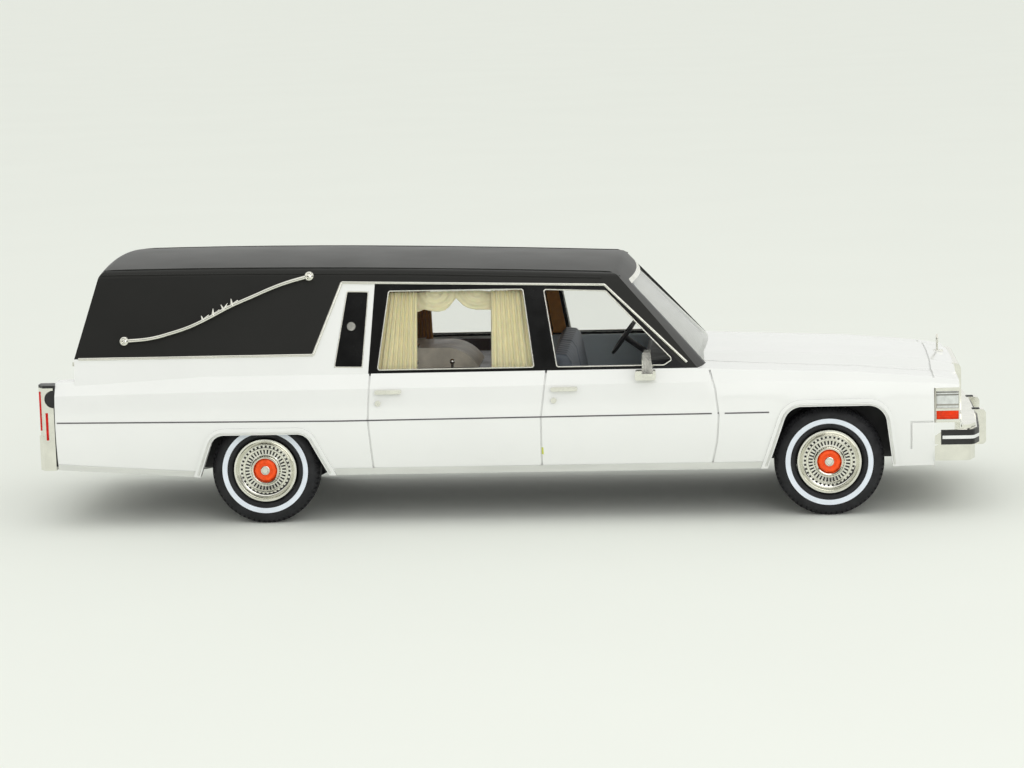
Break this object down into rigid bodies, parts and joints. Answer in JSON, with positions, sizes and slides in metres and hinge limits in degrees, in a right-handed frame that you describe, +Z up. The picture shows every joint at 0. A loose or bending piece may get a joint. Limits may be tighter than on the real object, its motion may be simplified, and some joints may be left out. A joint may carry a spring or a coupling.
{
  "type": "scale model hearse",
  "caption": "Display scale model of a long-wheelbase landau hearse with hollow glazed cabin, side curtains and two turning wheel sets.",
  "frame": {"origin": "on the ground under the tyres, midway between the bumpers and on the centre plane", "axes": "+X towards the front, +Y to the left side, +Z up"},
  "size_m": [0.1446, 0.0528, 0.0397],
  "materials": {
    "amber_lens": "gloss",
    "axle_steel": "satin",
    "black_gloss": "gloss",
    "black_plastic": "matte",
    "black_roof": "satin",
    "black_rubber": "matte",
    "bright_metal": "polished",
    "chrome_plate": "polished",
    "clear_glass": "clear gloss",
    "curtain_cloth": "matte",
    "deck_trim": "matte",
    "interior_trim": "matte",
    "lamp_glass": "clear gloss",
    "lining_cloth": "matte",
    "orange_paint": "gloss",
    "plate_white": "satin",
    "red_lens": "gloss",
    "satin_metal": "satin",
    "seat_trim": "matte",
    "table_trim": "matte",
    "tyre_rubber": "matte",
    "white_paint": "gloss"
  },
  "bodies": {
    "model": {"amber_markers": "amber_lens", "base_plate": "black_plastic", "body_shell": "white_paint", "bright_mouldings": "bright_metal", "cabin_lining": "lining_cloth", "casket_deck": "deck_trim", "casket_rollers": "bright_metal", "casket_table": "table_trim", "corner_lenses": "lamp_glass", "dashboard": "black_plastic", "door_frames": "black_gloss", "door_handles": "bright_metal", "door_mirrors": "bright_metal", "exhaust": "satin_metal", "front_bumper": "chrome_plate", "front_bumper_inlay": "plate_white", "front_bumper_strip": "black_rubber", "front_door_glass": "clear_glass", "front_seat": "seat_trim", "grille": "chrome_plate", "headlamp_lenses": "lamp_glass", "hood_ornament": "bright_metal", "interior_tub": "interior_trim", "lamp_shells": "chrome_plate", "landau_bars": "bright_metal", "landau_roof": "black_roof", "load_door_trim": "bright_metal", "opera_badges": "bright_metal", "opera_panels": "black_gloss", "rear_bumper": "chrome_plate", "rear_bumper_strips": "black_rubber", "rear_door_glass": "clear_glass", "rear_glass": "clear_glass", "rear_plate": "plate_white", "rear_window_trim": "bright_metal", "side_curtains": "curtain_cloth", "sill_trims": "satin_metal", "steering_wheel": "black_plastic", "tail_gaskets": "black_rubber", "tail_lenses": "red_lens", "turn_lenses": "lamp_glass", "window_edges": "bright_metal", "windshield": "clear_glass", "windshield_trim": "bright_metal"},
    "front_wheelset": {"front_tyres": "tyre_rubber", "front_wheel_covers": "chrome_plate", "front_wheel_caps": "orange_paint", "front_axle": "axle_steel"},
    "rear_wheelset": {"rear_tyres": "tyre_rubber", "rear_wheel_covers": "chrome_plate", "rear_wheel_caps": "orange_paint", "rear_axle": "axle_steel"}
  },
  "joints": [
    {"name": "front_wheels_spin", "type": "hinge", "parent": "model", "child": "front_wheelset", "pos_m": [0.0479, 0, 0.00825], "axis": [0, 1, 0], "continuous": true},
    {"name": "rear_wheels_spin", "type": "hinge", "parent": "model", "child": "rear_wheelset", "pos_m": [-0.0374, 0, 0.00825], "axis": [0, 1, 0], "continuous": true}
  ]
}
